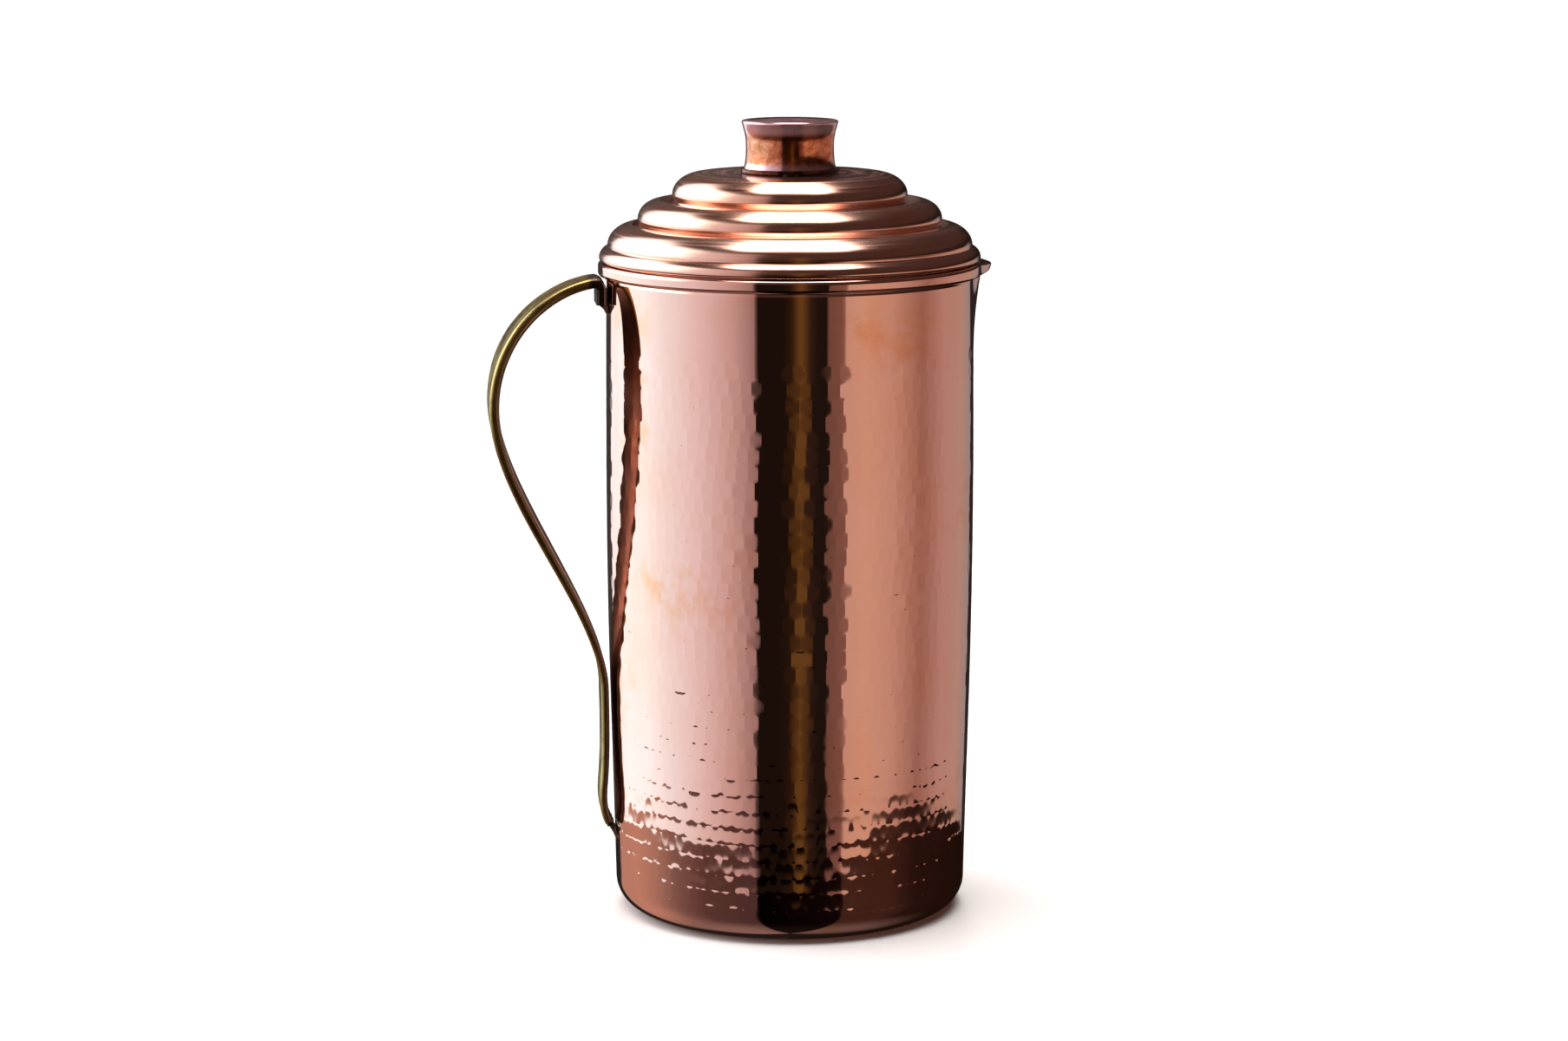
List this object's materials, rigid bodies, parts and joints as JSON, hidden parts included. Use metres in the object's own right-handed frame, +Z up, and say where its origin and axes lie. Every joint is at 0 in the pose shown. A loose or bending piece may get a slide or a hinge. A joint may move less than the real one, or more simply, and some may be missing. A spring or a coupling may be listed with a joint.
{
  "type": "hammered copper water jug with lid",
  "caption": "Cylindrical hammered copper water jug with a rolled rim, a pulled pouring lip, a brass strap handle and a stepped lift-off lid with a spool knob.",
  "frame": {"origin": "where the jug's vertical axis meets the flat underside of its base", "axes": "+Z up along the jug's axis, +X towards the pouring lip, the handle on -X"},
  "size_m": [0.1464, 0.111, 0.2311],
  "materials": {
    "hammered_copper": "polished, hand hammered copper",
    "spun_copper": "spun copper with fine concentric lines",
    "oxidised_copper": "polished copper with an orange brown tarnish",
    "aged_brass": "aged brass, olive brown, bright on its edges",
    "braze": "pale brazing metal, slightly rough",
    "plated_steel": "zinc plated steel"
  },
  "bodies": {
    "pitcher": {"vessel_wall": "hammered_copper", "rim_wire": "hammered_copper", "base_dish": "hammered_copper", "base_braze": "braze", "handle_strap": "aged_brass", "handle_upper_braze": "braze", "handle_lower_braze": "braze"},
    "lid": {"lid_dome": "spun_copper", "lid_edge_wire": "spun_copper", "lid_collar": "spun_copper", "collar_braze": "braze", "knob_foot": "oxidised_copper", "knob_shell": "oxidised_copper", "knob_cap": "oxidised_copper", "knob_stud": "plated_steel", "stud_washer": "aged_brass", "stud_nut": "plated_steel"}
  },
  "joints": [
    {"name": "lid_lift", "type": "slide", "parent": "pitcher", "child": "lid", "axis": [0, 0, 1], "range_m": [0, 0.12]}
  ]
}
